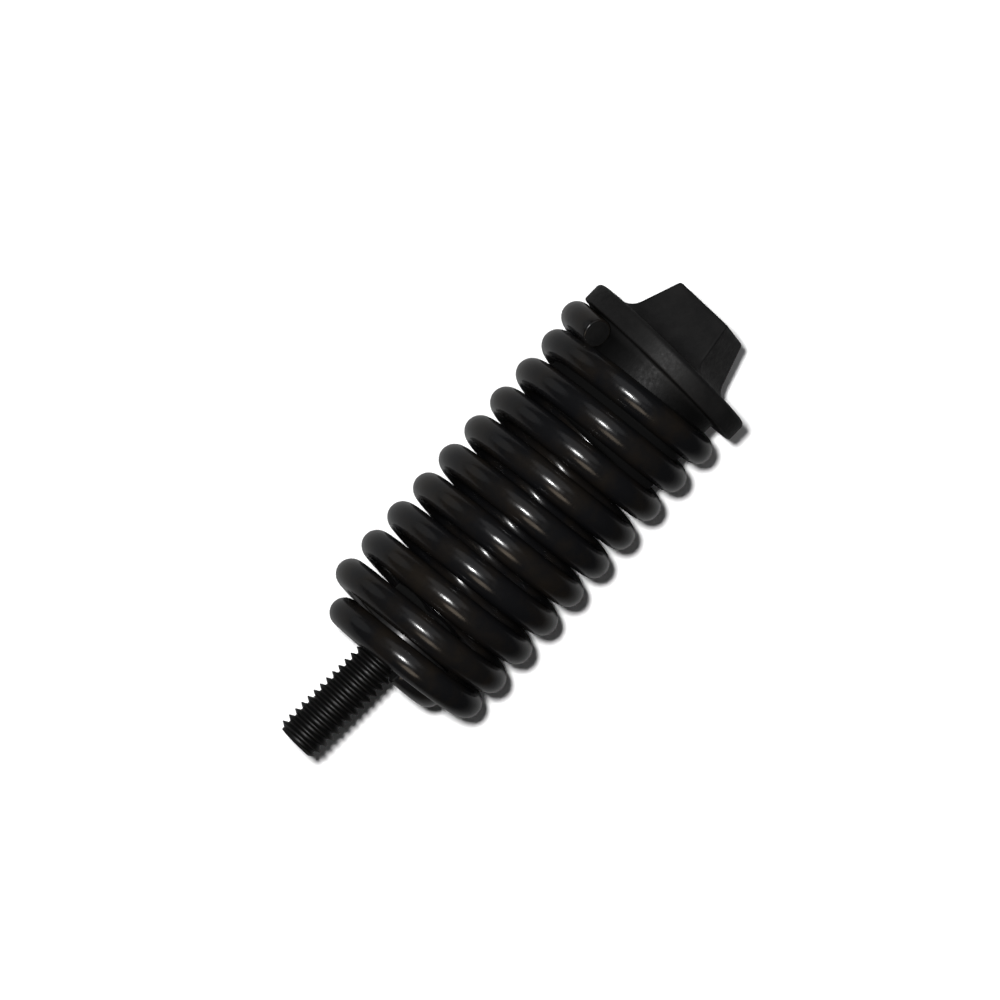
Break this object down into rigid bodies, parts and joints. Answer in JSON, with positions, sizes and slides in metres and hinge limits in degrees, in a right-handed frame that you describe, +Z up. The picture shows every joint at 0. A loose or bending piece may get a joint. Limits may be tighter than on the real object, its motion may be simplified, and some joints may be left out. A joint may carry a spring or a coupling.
{
  "type": "vibration dampener",
  "caption": "Coil-spring vibration dampener: a steel helical spring with a threaded stud at its closed end and a flanged, square-nosed moulded plug screwed into the other.",
  "frame": {"origin": "centre of the flat end face of the threaded stud", "axes": "+X runs along the spring from the stud to the plug; +Z is up when it lies on its side; the stud and the plug lean in the XY plane"},
  "size_m": [0.0969, 0.0342, 0.0331],
  "materials": {
    "spring_lacquer": "gloss black lacquer",
    "black_oxide": "black oxide, lightly oiled",
    "washer_steel": "dark zinc",
    "black_plastic": "moulded, finely speckled satin"
  },
  "bodies": {
    "stud": {"stud_bolt": "black_oxide"},
    "seat": {"head_washer": "washer_steel"},
    "spring": {"coil_spring": "spring_lacquer"},
    "plug": {"end_plug": "black_plastic"}
  },
  "joints": [
    {"name": "stud_swivel", "type": "hinge", "parent": "stud", "child": "seat", "pos_m": [0, 0, 0], "axis": [0.9986, -0.0532, 0], "continuous": true},
    {"name": "spring_bend", "type": "hinge", "parent": "seat", "child": "spring", "pos_m": [0.0311, -0.00242, -0.00065], "axis": [0, 0, 1], "range_deg": [-7, 7], "stiffness_Nm_per_rad": 9.2, "deforming": ["coil_spring"]},
    {"name": "spring_stroke", "type": "slide", "parent": "spring", "child": "plug", "axis": [1, 0, 0], "range_m": [-0.003, 0.004], "stiffness_N_per_m": 41500, "deforming": ["coil_spring"]}
  ]
}
